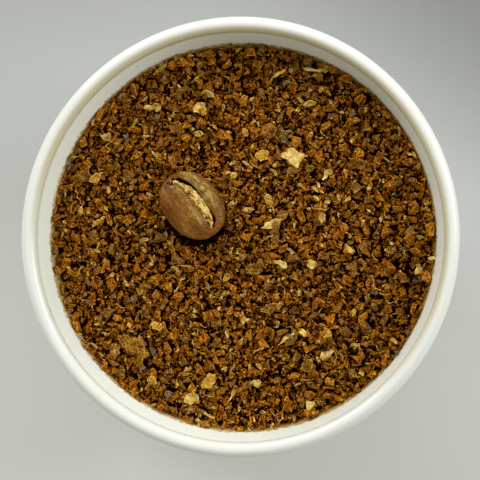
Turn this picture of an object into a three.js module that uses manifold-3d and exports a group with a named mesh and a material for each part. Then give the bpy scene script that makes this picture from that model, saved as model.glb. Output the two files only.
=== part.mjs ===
// A small white porcelain bowl of coarsely ground coffee, with one roasted coffee bean lying on the grounds.
// Millimetres, +Z up. The origin is on the bowl's axis, in the plane that its foot stands on.
import * as THREE from "three";
import { ConvexGeometry } from "three/addons/geometries/ConvexGeometry.js";
import { mergeVertices } from "three/addons/utils/BufferGeometryUtils.js";
import Module from "manifold-3d";

const wasm = await Module();
wasm.setup();

// Bowl: a thrown and glazed dish with a rounded bead at the rim and a turned foot ring
const rimRadius = 32.5;
const bowlHeight = 34;
const beadWidth = 2.25;
const beadHeight = 1.2;
const creaseDepth = 1.6; // the line where the bead meets the inner wall, below the rim
const wallThickness = 2.3;
const footRadius = 17.4;
const footWidth = 3;
const footHeight = 2.2;
const footRecess = 1.4;
const baseInside = 5.6; // height of the inner floor
const bowlSegments = 60;

// Ground coffee: level, with a slow swell and grains that stand out of it
const coffeeDepth = 6; // below the rim
const wallGap = 0.3;
const grainStep = 1.22;
const grainRelief = 0.36;
const swellHeight = 0.3;
const largeGrains = 100;
const largeGrainSize = [1.7, 2.9];
const grainSeed = 20;

// Chaff: the largest papery flakes, each [x, y, length, width, turn in degrees]
const flakeThickness = 0.35;
const largeFlakes = [
  [7.3, 11.7, 3.5, 3.0, -25],
  [4.5, 1.7, 3.0, 1.3, -8],
  [5.6, 24.6, 2.7, 1.3, 35],
  [-4.7, -21.4, 2.7, 1.9, 32],
  [-7.4, -24.1, 2.2, 1.8, 20],
  [12.6, -17.2, 2.7, 1.6, 5],
  [7.3, -14.6, 2.9, 1.0, 40],
  [5.2, -4.0, 2.2, 1.5, -15],
  [-6.1, 19.1, 2.2, 1.7, 10],
  [-21.9, 8.8, 2.1, 1.6, -30],
  [17.3, 10.9, 2.4, 1.9, -50],
  [-16.8, -15.8, 3.0, 1.9, -40],
];

// Coffee bean: it lies on its round back, with the cut face up
const beanLength = 11;
const beanWidth = 8.6;
const beanBack = 3.7; // depth of the round back below the widest line
const beanFace = 1.5; // rise of the cut face above it
const beanRoundness = 2.15; // 2 is an ellipse, and more is squarer
const beanAt = new THREE.Vector3(-7.2, 4.55, bowlHeight - coffeeDepth + 2.75);
const beanTurn = -51; // degrees about +Z
const beanRoll = -14; // the cut face leans away from the bowl's near side
const beanRings = 8;
const beanStep = 0.92;
const dentScale = [1.06, 1.08, 1.09]; // the hollow that the bean presses into the grounds

// The cut along the bean's face, [along, across], and the papery skin left in it
const cutLine = [
  [-4.85, -0.2],
  [-2.8, 0.15],
  [-0.5, 0.6],
  [2.1, 0.65],
  [3.7, 0.55],
  [4.85, 0],
];
const cutWidth = 1.5;
const cutDepth = 2.1; // below the face's crown
const cutStations = 22;
const skinWidth = 0.8;
const skinGap = 0.3;
const skinReach = 0.86; // share of the cut's length that holds skin

const surfaceHeight = bowlHeight - coffeeDepth;
const up = new THREE.Vector3(0, 0, 1);

function seededRandom(seed) {
  let state = seed;
  return () => {
    state = (state + 0x6d2b79f5) | 0;
    let mixed = Math.imul(state ^ (state >>> 15), 1 | state);
    mixed = (mixed + Math.imul(mixed ^ (mixed >>> 7), 61 | mixed)) ^ mixed;
    return ((mixed ^ (mixed >>> 14)) >>> 0) / 4294967296;
  };
}

function solidOf(geometry) {
  const bare = geometry.clone();
  bare.deleteAttribute("normal");
  bare.deleteAttribute("uv");
  const merged = mergeVertices(bare, 1e-4);
  return new wasm.Manifold(
    new wasm.Mesh({
      numProp: 3,
      vertProperties: merged.attributes.position.array,
      triVerts: new Uint32Array(merged.index.array),
    }),
  );
}

function geometryOf(solid) {
  const mesh = solid.getMesh();
  const geometry = new THREE.BufferGeometry();
  geometry.setAttribute("position", new THREE.BufferAttribute(mesh.vertProperties, 3));
  geometry.setIndex(new THREE.BufferAttribute(mesh.triVerts, 1));
  const faceted = geometry.toNonIndexed();
  faceted.computeVertexNormals();
  return faceted;
}

function geometryFromFaces(points, faces) {
  const geometry = new THREE.BufferGeometry().setFromPoints(points);
  geometry.setIndex(faces.flat());
  return geometry;
}

// A closed body from a first point, rings of points that run the same way round, and a last point.
function bodyFromRings(first, rings, last) {
  const points = [first];
  const starts = rings.map((ring) => {
    points.push(...ring);
    return points.length - ring.length;
  });
  points.push(last);
  const faces = [];
  const at = (ring, i) => starts[ring] + (i % rings[ring].length);
  for (let i = 0; i < rings[0].length; i++) {
    faces.push([0, at(0, i), at(0, i + 1)]);
  }
  for (let ring = 0; ring + 1 < rings.length; ring++) {
    const here = rings[ring].length;
    const next = rings[ring + 1].length;
    let i = 0;
    let j = 0;
    while (i < here || j < next) {
      if ((j + 1) / next <= (i + 1) / here) {
        faces.push([at(ring, i), at(ring + 1, j), at(ring + 1, j + 1)]);
        j++;
      } else {
        faces.push([at(ring, i), at(ring + 1, j), at(ring, i + 1)]);
        i++;
      }
    }
  }
  const end = rings.length - 1;
  for (let i = 0; i < rings[end].length; i++) {
    faces.push([at(end, i + 1), at(end, i), points.length - 1]);
  }
  return geometryFromFaces(points, faces);
}

// A closed body lofted through sections with the same number of points, capped flat at both ends.
function bodyFromSections(sections) {
  const size = sections[0].length;
  const faces = [];
  for (let s = 0; s + 1 < sections.length; s++) {
    for (let i = 0; i < size; i++) {
      const a = s * size + i;
      const b = s * size + ((i + 1) % size);
      faces.push([a, b, b + size], [a, b + size, a + size]);
    }
  }
  const lastStart = (sections.length - 1) * size;
  for (let i = 1; i + 1 < size; i++) {
    faces.push([0, i + 1, i], [lastStart, lastStart + i, lastStart + i + 1]);
  }
  return geometryFromFaces(sections.flat(), faces);
}

// The inside of the bowl, from the crease under the bead to the edge of its nearly flat floor.
function innerWall() {
  return new THREE.CubicBezierCurve(
    new THREE.Vector2(rimRadius - beadWidth, bowlHeight - creaseDepth),
    new THREE.Vector2(rimRadius - 5.4, bowlHeight - 10),
    new THREE.Vector2(rimRadius - 9.3, baseInside + 1.2),
    new THREE.Vector2(footRadius - 6, baseInside + 0.15),
  );
}

// The bowl's section, from the middle of its underside round to the middle of its floor.
function bowlOutline() {
  const footTop = new THREE.Vector2(footRadius + 0.3, footHeight);
  const neck = new THREE.Vector2(rimRadius - 0.45, bowlHeight - 3);
  const beadSide = new THREE.Vector2(rimRadius, bowlHeight - beadHeight);
  const belly = new THREE.CubicBezierCurve(
    footTop,
    new THREE.Vector2(footTop.x + 8.3, footTop.y + 3.2),
    new THREE.Vector2(neck.x - wallThickness - 1.1, bowlHeight - 12.5),
    neck,
  );
  const underBead = new THREE.QuadraticBezierCurve(
    neck,
    new THREE.Vector2(rimRadius - 0.1, neck.y + 0.7),
    beadSide,
  );
  const beadHalf = beadWidth / 2;
  const bead = new THREE.EllipseCurve(rimRadius - beadHalf, beadSide.y, beadHalf, beadHeight, 0, Math.PI);
  return [
    new THREE.Vector2(0, footRecess),
    new THREE.Vector2(footRadius - footWidth - 0.6, footRecess),
    new THREE.Vector2(footRadius - footWidth, 0),
    new THREE.Vector2(footRadius, 0),
    ...belly.getPoints(8),
    ...underBead.getPoints(2),
    ...bead.getPoints(8),
    ...innerWall().getPoints(9),
    new THREE.Vector2(0, baseInside),
  ];
}

function bowlGeometry() {
  const outline = bowlOutline().filter((p, i, all) => i === 0 || p.distanceTo(all[i - 1]) > 0.01);
  const geometry = new THREE.LatheGeometry(outline, bowlSegments);
  geometry.rotateX(Math.PI / 2);
  return geometry;
}

function swell(x, y) {
  return swellHeight * (Math.sin(x / 7 + 0.6) * Math.cos(y / 8 - 0.4) + 0.4 * Math.sin((x + y) / 4.3));
}

function pointRing(radius, step, place) {
  const count = Math.max(6, Math.round((2 * Math.PI * radius) / step));
  return Array.from({ length: count }, (_, i) => place(radius, (2 * Math.PI * i) / count));
}

// The heap's core: a bumpy top of grain size, over a smooth underside that follows the bowl.
function coffeeCore(random) {
  const wall = innerWall()
    .getPoints(10)
    .map((p) => new THREE.Vector2(p.x - wallGap, p.y + wallGap))
    .filter((p) => p.y < surfaceHeight - 0.6);
  const edgeRadius = wall[0].x + (surfaceHeight - wall[0].y) * 0.4;
  const bumpy = (radius, angle) => {
    const loose = radius < edgeRadius - grainStep ? 0.3 * grainStep : 0;
    const x = radius * Math.cos(angle) + loose * (2 * random() - 1);
    const y = radius * Math.sin(angle) + loose * (2 * random() - 1);
    return new THREE.Vector3(x, y, surfaceHeight + swell(x, y) + grainRelief * (2 * random() - 1));
  };
  const rings = [];
  for (let radius = grainStep; radius < edgeRadius - grainStep / 2; radius += grainStep) {
    rings.push(pointRing(radius, grainStep, bumpy));
  }
  rings.push(pointRing(edgeRadius, grainStep, bumpy));
  const smooth = (height) => (radius, angle) => {
    return new THREE.Vector3(radius * Math.cos(angle), radius * Math.sin(angle), height);
  };
  for (const p of wall) rings.push(pointRing(p.x, 4, smooth(p.y)));
  const top = new THREE.Vector3(0, 0, surfaceHeight);
  const bottom = new THREE.Vector3(0, 0, baseInside + wallGap);
  return solidOf(bodyFromRings(top, rings, bottom));
}

// One angular chip: the hull of a few points thrown onto a flattened ball.
function chip(random, size) {
  const stretch = new THREE.Vector3(0.5, 0.3 + 0.15 * random(), 0.26 + 0.1 * random()).multiplyScalar(size);
  const corners = 8;
  const points = Array.from({ length: corners }, (_, i) => {
    const height = 1 - (2 * (i + 0.5)) / corners;
    const angle = i * 2.4 + random();
    const reach = Math.sqrt(1 - height * height);
    return new THREE.Vector3(reach * Math.cos(angle), reach * Math.sin(angle), height).multiply(stretch);
  });
  return new ConvexGeometry(points);
}

// A flake of chaff: a thin plate with a ragged outline, lifted a little on one side.
function flake(random, length, width) {
  const sides = 7;
  const outline = new THREE.Shape(
    Array.from({ length: sides }, (_, i) => {
      const angle = (2 * Math.PI * i) / sides;
      const reach = 0.42 + 0.12 * random();
      return new THREE.Vector2(length * reach * Math.cos(angle), width * reach * Math.sin(angle));
    }),
  );
  const plate = new THREE.ExtrudeGeometry(outline, { depth: flakeThickness, bevelEnabled: false });
  plate.rotateX(0.25 * (random() - 0.5));
  plate.rotateY(0.3 * (random() - 0.5));
  return plate;
}

function coffeeGeometry(bean) {
  const random = seededRandom(grainSeed);
  let heap = coffeeCore(random);
  const reach = rimRadius - beadWidth - 4.3;
  const goldenAngle = Math.PI * (3 - Math.sqrt(5));
  for (let i = 0; i < largeGrains; i++) {
    const radius = reach * Math.sqrt((i + 0.5) / largeGrains);
    const angle = i * goldenAngle + 0.3 * random();
    const size = THREE.MathUtils.lerp(...largeGrainSize, random() ** 2);
    const grain = chip(random, size);
    grain.rotateX(0.6 * (random() - 0.5));
    grain.rotateZ(2 * Math.PI * random());
    const x = radius * Math.cos(angle);
    const y = radius * Math.sin(angle);
    grain.translate(x, y, surfaceHeight + swell(x, y) + 0.14 * size);
    heap = heap.add(solidOf(grain));
  }
  for (const [x, y, length, width, turn] of largeFlakes) {
    const plate = flake(random, length, width);
    plate.rotateZ(THREE.MathUtils.degToRad(turn));
    plate.translate(x, y, surfaceHeight + swell(x, y) + 0.15);
    heap = heap.add(solidOf(plate));
  }
  const whole = heap.subtract(solidOf(bean)).decompose();
  whole.sort((a, b) => b.volume() - a.volume());
  return geometryOf(whole[0]);
}

// The bean without its cut: a pillowed face over a round back.
function beanBlank() {
  const ring = (share, height) => {
    const count = Math.max(8, Math.round((Math.PI * beanLength * share) / beanStep));
    return Array.from({ length: count }, (_, i) => {
      const c = Math.cos((2 * Math.PI * i) / count);
      const s = Math.sin((2 * Math.PI * i) / count);
      const square = (Math.abs(c) ** beanRoundness + Math.abs(s) ** beanRoundness) ** (-1 / beanRoundness);
      const reach = (share * square) / 2;
      return new THREE.Vector3(beanLength * c * reach, beanWidth * s * reach, height);
    });
  };
  const face = (share) => beanFace * (1 - share ** 2.4) ** 0.55;
  const back = (share) => -beanBack * Math.sqrt(1 - share ** 2);
  const shares = Array.from({ length: beanRings }, (_, i) => Math.sin(((i + 1) / beanRings) * (Math.PI / 2)));
  const down = shares.map((share) => ring(share, face(share)));
  const under = shares.slice(0, -1).reverse().map((share) => ring(share, back(share)));
  const crown = new THREE.Vector3(0, 0, beanFace);
  const keel = new THREE.Vector3(0, 0, -beanBack);
  return bodyFromRings(crown, [...down, ...under], keel);
}

function alongCut() {
  const curve = new THREE.CatmullRomCurve3(cutLine.map(([x, y]) => new THREE.Vector3(x, y, 0)));
  return Array.from({ length: cutStations + 1 }, (_, i) => {
    const share = i / cutStations;
    const sideways = curve.getTangentAt(share).cross(up).negate();
    return { share, centre: curve.getPointAt(share), sideways };
  });
}

// The cut: a furrow with a narrow floor, widest in the middle and closed at the bean's ends.
function cutBody() {
  const sections = alongCut().map(({ share, centre, sideways }) => {
    const open = 0.25 + 0.75 * Math.sin(Math.PI * share) ** 0.6;
    const half = (cutWidth / 2) * open;
    const floor = beanFace - cutDepth * open;
    const corner = (side, height) => centre.clone().addScaledVector(sideways, side).setZ(height);
    return [
      corner(-half, beanFace + 1),
      corner(-half * 0.75, floor),
      corner(half * 0.75, floor),
      corner(half, beanFace + 1),
    ];
  });
  return solidOf(bodyFromSections(sections));
}

// The papery skin left in the cut: a crumpled band, wavy in height and in width.
function skinBody() {
  const margin = (1 - skinReach) / 2;
  const kept = alongCut().filter(({ share }) => share > margin && share < 1 - margin);
  const sections = kept.map(({ share, centre, sideways }, i) => {
    const open = Math.sin(Math.PI * share) ** 0.6;
    const half = (skinWidth / 2) * (0.35 + 0.65 * open) * (0.9 + 0.1 * Math.sin(i * 2.3));
    const floor = beanFace - cutDepth * (0.25 + 0.75 * open) + skinGap;
    const crest = beanFace - 0.5 + 0.25 * open + 0.1 * Math.sin(i * 1.7);
    const corner = (side, height) => centre.clone().addScaledVector(sideways, side).setZ(height);
    return [
      corner(-half, crest - 0.2),
      corner(-half * 0.6, floor),
      corner(half * 0.6, floor),
      corner(half, crest - 0.12),
      corner(0.1 * Math.sin(i * 2.9), crest),
    ];
  });
  return bodyFromSections(sections);
}

function part(name, geometry, look) {
  const mesh = new THREE.Mesh(geometry, new THREE.MeshStandardMaterial(look));
  mesh.name = name;
  return mesh;
}

const glaze = { color: 0xe9ebe6, roughness: 0.15, metalness: 0 };
const grounds = { color: 0x5f3a12, roughness: 0.9, metalness: 0 };
const roastedSkin = { color: 0x80582a, roughness: 0.5, metalness: 0 };
const silverSkin = { color: 0xd0a45c, roughness: 0.7, metalness: 0 };

const beanPlace = new THREE.Group();
beanPlace.position.copy(beanAt);
beanPlace.rotation.set(THREE.MathUtils.degToRad(beanRoll), 0, THREE.MathUtils.degToRad(beanTurn), "ZYX");
beanPlace.updateMatrix();

const blank = beanBlank();
const dent = blank.clone().scale(...dentScale).applyMatrix4(beanPlace.matrix);
const beanBody = geometryOf(solidOf(blank).subtract(cutBody()));
beanPlace.add(part("coffee_bean", beanBody, roastedSkin));
beanPlace.add(part("bean_silverskin", skinBody(), silverSkin));

const object = new THREE.Group();
object.add(part("bowl", bowlGeometry(), glaze));
object.add(part("coffee_grounds", coffeeGeometry(dent), grounds));
object.add(beanPlace);

export default object;
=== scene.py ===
# Small porcelain bowl of coarse ground coffee with one roasted bean on it
import math
import bmesh
import bpy
import numpy as np
from mathutils import Matrix, Vector, geometry, noise


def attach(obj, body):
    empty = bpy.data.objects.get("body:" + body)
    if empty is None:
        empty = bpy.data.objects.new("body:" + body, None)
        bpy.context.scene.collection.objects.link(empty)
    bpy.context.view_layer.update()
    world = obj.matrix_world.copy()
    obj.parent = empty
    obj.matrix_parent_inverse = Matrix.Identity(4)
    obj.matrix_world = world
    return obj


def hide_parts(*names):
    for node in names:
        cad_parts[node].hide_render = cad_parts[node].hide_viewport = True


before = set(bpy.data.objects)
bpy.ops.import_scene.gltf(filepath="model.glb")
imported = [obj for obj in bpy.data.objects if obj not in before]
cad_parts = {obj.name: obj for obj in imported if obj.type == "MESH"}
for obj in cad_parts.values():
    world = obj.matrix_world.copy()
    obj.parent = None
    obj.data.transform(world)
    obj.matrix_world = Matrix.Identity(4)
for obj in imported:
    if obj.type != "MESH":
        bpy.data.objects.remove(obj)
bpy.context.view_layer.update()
mm = 0.001


# Shared helpers

def toLinear(hexColour, alpha=1.0):
    # sRGB hex to the linear values that the sockets take
    parts = [int(hexColour[i:i + 2], 16) / 255 for i in (1, 3, 5)]
    return [c / 12.92 if c <= 0.04045 else ((c + 0.055) / 1.055) ** 2.4 for c in parts] + [alpha]


def setStops(elements, stops):
    # places and hex colours of a colour ramp
    while len(elements) < len(stops):
        elements.new(0.5)
    for element, (place, colour) in zip(elements, stops):
        element.position = place
        element.color = toLinear(colour)


def addNode(tree, kind, settings=None, output=0):
    # lower-case names are the node's own properties, and the others are sockets, which take a value or a
    # link. Returns the output asked for, or the node for None
    node = tree.nodes.new(kind)
    for name, value in (settings or {}).items():
        if name == "stops":
            setStops(node.color_ramp.elements, value)
        elif isinstance(name, str) and name.islower():
            setattr(node, name, value)
        elif hasattr(value, "links"):
            tree.links.new(value, node.inputs[name])
        else:
            node.inputs[name].default_value = value
    return node if output is None else node.outputs[output]


def addObject(name, mesh, collection=None):
    made = bpy.data.objects.new(name, mesh)
    (collection or bpy.context.scene.collection).objects.link(made)
    return made


def meshFrom(name, points, faces, smooth=True):
    # points in millimetres
    mesh = bpy.data.meshes.new(name)
    mesh.from_pydata([tuple(p) for p in np.asarray(points) * mm], [], [tuple(map(int, f)) for f in faces])
    mesh.polygons.foreach_set("use_smooth", [smooth] * len(mesh.polygons))
    mesh.update()
    return mesh


def addMask(mesh, name, values):
    # one number a point, or one for all, read by a finish
    values = np.full(len(mesh.vertices), values, np.float32)
    mesh.attributes.new(name, "FLOAT", "POINT").data.foreach_set("value", values)


def pointsOf(mesh):
    # in millimetres
    flat = np.empty(len(mesh.vertices) * 3, np.float32)
    mesh.vertices.foreach_get("co", flat)
    return flat.reshape(-1, 3) / mm


def pointOutward(mesh):
    turned = bmesh.new()
    turned.from_mesh(mesh)
    bmesh.ops.recalc_face_normals(turned, faces=turned.faces)
    turned.to_mesh(mesh)
    turned.free()


def gridFaces(rows, columns, closed=True):
    # quads between rows of points; closed joins the last column to the first
    faces = []
    for row in range(rows - 1):
        for column in range(columns if closed else columns - 1):
            after = (column + 1) % columns
            a = row * columns + column
            b = row * columns + after
            faces.append((a, b, b + columns, a + columns))
    return faces


def shellFaces(rings, around):
    # a closed surface over rings of points, with one more point before the first ring and one past the last
    faces = gridFaces(rings, around)
    poles = rings * around, rings * around + 1
    last = (rings - 1) * around
    for i in range(around):
        j = (i + 1) % around
        faces += [(poles[0], j, i), (poles[1], last + i, last + j)]
    return faces


def bezier(points, steps):
    t = np.linspace(0, 1, steps + 1)[:, None]
    a, b, c, d = (np.array(p, float) for p in points)
    return (1 - t) ** 3 * a + 3 * (1 - t) ** 2 * t * b + 3 * (1 - t) * t ** 2 * c + t ** 3 * d


def catmullRom(points, share):
    # smooth curve through points, read at share from 0 to 1
    points = np.array(points, float)
    padded = np.vstack([2 * points[0] - points[1], points, 2 * points[-1] - points[-2]])
    place = np.clip(np.asarray(share, float), 0, 1) * (len(points) - 1)
    k = np.minimum(place.astype(int), len(points) - 2)
    t = (place - k)[..., None]
    a, b, c, d = (padded[k + i] for i in range(4))
    return 0.5 * (2 * b + (c - a) * t + (2 * a - 5 * b + 4 * c - d) * t ** 2
                  + (3 * b - a - 3 * c + d) * t ** 3)


def smoothStep(low, high, value):
    t = np.clip((value - low) / (high - low), 0, 1)
    return t * t * (3 - 2 * t)


def bell(away, reach):
    # 1 where away is 0, and next to nothing past twice the reach
    return np.exp(-(away / reach) ** 2)


def newMaterial(name):
    # its node tree too, and the place on the surface in millimetres
    material = bpy.data.materials.new(name)
    material.use_nodes = True
    tree = material.node_tree
    tree.nodes.clear()
    place = addNode(tree, "ShaderNodeTexCoord", {}, "Object")
    place = addNode(tree, "ShaderNodeVectorMath", {"operation": "SCALE", 0: place, "Scale": 1 / mm})
    return material, tree, place


def finishMaterial(tree, colour, coats, roughness, shine=0.5, ior=1.45, bump=None):
    # coats: how each is laid on, its share, and its hex colour or a socket with it
    for how, share, coat in coats:
        coat = toLinear(coat) if isinstance(coat, str) else coat
        colour = addNode(tree, "ShaderNodeMix",
                         {"data_type": "RGBA", "blend_type": how, 0: share, 6: colour, 7: coat}, 2)
    settings = {"Base Color": colour, "Roughness": roughness, "Specular IOR Level": shine, "IOR": ior}
    if bump:
        # heights from 0 to 1, strength, and depth in millimetres
        height, strength, depth = bump
        relief = {"Height": height, "Strength": strength, "Distance": depth * mm}
        settings["Normal"] = addNode(tree, "ShaderNodeBump", relief)
    shader = addNode(tree, "ShaderNodeBsdfPrincipled", settings)
    addNode(tree, "ShaderNodeOutputMaterial", {"Surface": shader}, None)


# Bowl

bowlShape = {
    "rimRadius": 32.5,
    "height": 34,
    "beadWidth": 2.25,
    "beadHeight": 1.2,
    "creaseDepth": 1.6,
    "wall": 2.3,
    "footRadius": 17.4,
    "footWidth": 3,
    "footHeight": 2.2,
    "footRecess": 1.4,
    "floor": 5.6,
    "segments": 240,
}
creaseAt = (bowlShape["rimRadius"] - bowlShape["beadWidth"], bowlShape["height"] - bowlShape["creaseDepth"])
# marks on the glaze: dust and painted shade about the crease, oil and painted shade on the bead's inner
# slope, the shade mostly on the bowl's far side, turned from the lamps, and the heights over which the
# yellowing of the inside and the film of fines fade out
glaze_marks_and_shade = {
    "dust": 0.34,
    "dustReach": 0.38,
    "oilOut": 0.3,
    "oilReach": 0.5,
    "oilNear": 0.12,
    "farOilAndShade": 0.5,
    "farSideTurn": 70,
    "yellowFades": (33.2, 32.2),
    "filmFades": (29.7, 28.2),
}


def innerWall(steps):
    b = bowlShape
    bend = (b["rimRadius"] - 5.4, b["height"] - 10)
    low = (b["rimRadius"] - 9.3, b["floor"] + 1.2)
    return bezier([creaseAt, bend, low, (b["footRadius"] - 6, b["floor"] + 0.15)], steps)


def wallRadius(height):
    wall = innerWall(60)[::-1]
    return np.interp(height, wall[:, 1], wall[:, 0])


def bowlSection():
    # from the middle of the underside, out and up, over the bead and down to the middle of the floor
    b = bowlShape
    rim, foot, recess = b["rimRadius"], b["footRadius"], b["footRecess"]
    inner = foot - b["footWidth"]
    footTop = (foot + 0.3, b["footHeight"])
    neck = (rim - 0.45, b["height"] - 3)
    side = (rim, b["height"] - b["beadHeight"])
    base = [(0, recess), (7, recess), (inner - 0.6, recess), (inner - 0.1, 0.12), (inner + 0.15, 0),
            (foot - 0.25, 0), (foot + 0.02, 0.25), (footTop[0] - 0.08, footTop[1] - 0.5)]
    low = (footTop[0] + 8.3, footTop[1] + 3.2)
    high = (neck[0] - b["wall"] - 1.1, b["height"] - 12.5)
    belly = bezier([footTop, low, high, neck], 40)
    under = bezier([neck, (rim - 0.3, neck[1] + 0.35), (rim, neck[1] + 1), side], 6)[1:]
    turn = np.linspace(0, math.pi, 33)[1:, None]
    half = b["beadWidth"] / 2
    bead = np.hstack([rim - half + half * np.cos(turn), side[1] + b["beadHeight"] * np.sin(turn)])
    wall = innerWall(64)
    # the glaze fills the crease to a soft little valley
    crease = np.array([(wall[0][0] + 0.02, wall[0][1] + 0.14), (wall[0][0] + 0.05, wall[0][1])])
    return np.vstack([base, belly, under, bead, crease, wall[1:], [(0, b["floor"])]])


def latheMesh(name, section, segments):
    # the section's first and last points lie on the axis; firing has left the bowl a little out of round
    angles = np.linspace(0, 2 * math.pi, segments, endpoint=False)
    rings = section[1:-1]
    wobble = np.minimum(1 + 0.0011 * np.cos(2 * angles + 0.7) + 0.0006 * np.cos(3 * angles + 2.1), 1)
    points = np.empty((len(rings), segments, 3))
    points[:, :, 0] = rings[:, :1] * np.cos(angles) * wobble
    points[:, :, 1] = rings[:, :1] * np.sin(angles) * wobble
    points[:, :, 2] = rings[:, 1:]
    middles = [[0, 0, section[0][1]], [0, 0, section[-1][1]]]
    return meshFrom(name, np.vstack([points.reshape(-1, 3), middles]), shellFaces(len(rings), segments))


def porcelainFinish():
    # hard-paste porcelain, dipped in clear glaze: a cool white body under a gloss that pools a little
    material, tree, place = newMaterial("Glazed porcelain")
    patches = addNode(tree, "ShaderNodeTexNoise", {"Vector": place, "Scale": 0.09, "Detail": 2.0})
    specks = addNode(tree, "ShaderNodeTexNoise",
                     {"Vector": place, "Scale": 1.6, "Detail": 3.0, "Roughness": 0.7})
    ripple = addNode(tree, "ShaderNodeTexNoise", {"Vector": place, "Scale": 0.35, "Detail": 1.5})
    inner, dust, film, oil = (addNode(tree, "ShaderNodeAttribute", {"attribute_name": mask}, "Fac")
                              for mask in ("inner", "dust", "film", "oil"))
    # coffee dust and painted crease shade: a darker tan along the crease, broken up into specks
    broken = addNode(tree, "ShaderNodeMapRange", {0: specks, 1: 0.42, 2: 0.7, 3: 0.25, 4: 1.0})
    crease_dust_and_shade = addNode(tree, "ShaderNodeMath", {"operation": "MULTIPLY", 0: dust, 1: broken})
    # a ragged film of fines darkens the wall where the coffee meets it
    uneven = addNode(tree, "ShaderNodeMath", {"operation": "MULTIPLY_ADD", 0: specks, 1: 1.8, 2: -0.9})
    ragged = addNode(tree, "ShaderNodeMath", {"operation": "ADD", 0: film, 1: uneven})
    stained = addNode(tree, "ShaderNodeMapRange", {0: ragged, 1: 0.4, 2: 0.8, 3: 0.0, 4: 0.95})
    coats = [
        ("MIX", patches, "#E4E6DC"),
        ("MIX", inner, "#E8EBDD"),     # coffee oils have yellowed the glaze inside
        ("MIX", crease_dust_and_shade, "#B79A5E"),
        ("MIX", stained, "#AE8E48"),
        ("MIX", oil, "#B5A55E"),       # oil and fines on the bead's inner slope, plus painted shade, strongest on the side turned from the lamps
    ]
    finishMaterial(tree, toLinear("#EAECE3"), coats, 0.22, shine=0.42, ior=1.5, bump=(ripple, 0.25, 0.05))
    return material


def makeBowl():
    mesh = latheMesh("porcelain_bowl", bowlSection(), bowlShape["segments"])
    x, y, z = pointsOf(mesh).T
    radius = np.hypot(x, y)
    out, up = radius - creaseAt[0], z - creaseAt[1]
    # dust and painted shade along the crease
    addMask(mesh, "dust", glaze_marks_and_shade["dust"] * bell(np.hypot(out, up), glaze_marks_and_shade["dustReach"]))
    # painted shade: the band is strongest on the far side, turned from the lamps
    far = smoothStep(-0.6, 0.2, np.cos(np.arctan2(y, x) - math.radians(glaze_marks_and_shade["farSideTurn"])))
    slope = bell(out - glaze_marks_and_shade["oilOut"], glaze_marks_and_shade["oilReach"]) * (up > -0.3)
    addMask(mesh, "oil", slope * (glaze_marks_and_shade["oilNear"] + glaze_marks_and_shade["farOilAndShade"] * far))
    inside = radius < wallRadius(z) + 0.2
    addMask(mesh, "inner", inside * smoothStep(*glaze_marks_and_shade["yellowFades"], z))
    addMask(mesh, "film", inside * (z > bowlShape["floor"] - 0.1) * smoothStep(*glaze_marks_and_shade["filmFades"], z))
    mesh.materials.append(porcelainFinish())
    piece = addObject("porcelain_bowl", mesh)
    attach(piece, "root")
    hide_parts("bowl")
    print("bowl", len(mesh.polygons), "faces")


# Bean, in its own frame: x along it, y across, z out of the cut face

beanShape = {
    "length": 11,
    "width": 8.6,
    "back": 3.7,
    "face": 1.5,
    "roundness": 2.15,
    "at": (-7.13, 4.77, 30.75),
    "turn": -51,
    "roll": -14,
    # where along the bean, and where the cut's left and right lips are there
    "lips": [(-4.75, -0.1, 0.2), (-4.3, -0.2, 0.98), (-3.5, 0.15, 1.4), (-2.4, 0.4, 1.75), (-1.6, 0.55, 1.85),
             (-0.5, 0.2, 1.84), (0.8, 0.22, 1.72), (2.1, 0.15, 1.6), (3.1, 0.05, 1.56), (3.9, 0.05, 1.35),
             (4.35, 0, 0.7), (4.75, 0, 0.15)],
    "cutDepth": 1.8,
    # where the cut closes up to a shallow fold: middle, half length, share
    "bridge": (0.9, 1.7, 0.55),
    # how high the lobes' edges roll up over the cut, and how far out
    "leftRoll": (0.2, 0.6),
    "rightRoll": (0.45, 0.85),
    # a knob of skin folded up beside the cut's upper end
    "knob": (-4.8, -0.45),
    "knobRadius": 0.5,
    # painted sheen: pale satin patches, each with place, half length, half width, strength
    "bloom": [(-4.1, 1.9, 0.8, 0.6, 0.6), (-3.0, 2.7, 1.2, 0.8, 0.7), (-0.9, 2.5, 1.3, 0.9, 0.9),
              (0.9, 2.5, 1.0, 0.8, 0.7), (2.8, 2.6, 0.8, 0.5, 0.3), (-4.2, -0.95, 0.5, 0.35, 0.5),
              (-2.2, -0.5, 1.4, 0.6, 0.6), (0.8, -0.9, 0.9, 0.6, 0.5), (2.6, -0.75, 0.8, 0.5, 0.6),
              (-4.9, -0.45, 0.35, 0.3, 0.25)],
    "specks": [(-4.29, -1.56), (4.0, 2.06), (4.45, -1.33)],
    "speckRadius": 0.15,
    "around": 320,
    "rings": 150,
}
beanPlace = Matrix.Translation(beanShape["at"]) @ Matrix.Rotation(math.radians(beanShape["turn"]), 4, "Z")
beanPlace = beanPlace @ Matrix.Rotation(math.radians(beanShape["roll"]), 4, "X")
beanMatrix = np.array(beanPlace)


def toBean(points):
    inverse = np.linalg.inv(beanMatrix)
    return points @ inverse[:3, :3].T + inverse[:3, 3]


def fromBean(points):
    return points @ beanMatrix[:3, :3].T + beanMatrix[:3, 3]


def outlineShare(x, y):
    # 0 in the middle of the bean and 1 on its outline
    b = beanShape
    along, across = np.abs(2 * x / b["length"]), np.abs(2 * y / b["width"])
    return (along ** b["roundness"] + across ** b["roundness"]) ** (1 / b["roundness"])


def faceHeight(x, y):
    # the cut face before the cut is sunk into it
    return beanShape["face"] * np.clip(1 - outlineShare(x, y) ** 2.4, 0, None) ** 0.55


def readAlong(rows, x):
    # columns of the rows, as smooth curves along x
    line = catmullRom(rows, np.linspace(0, 1, 160))
    return [np.interp(x, line[:, 0], line[:, k]) for k in range(1, line.shape[1])]


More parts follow.
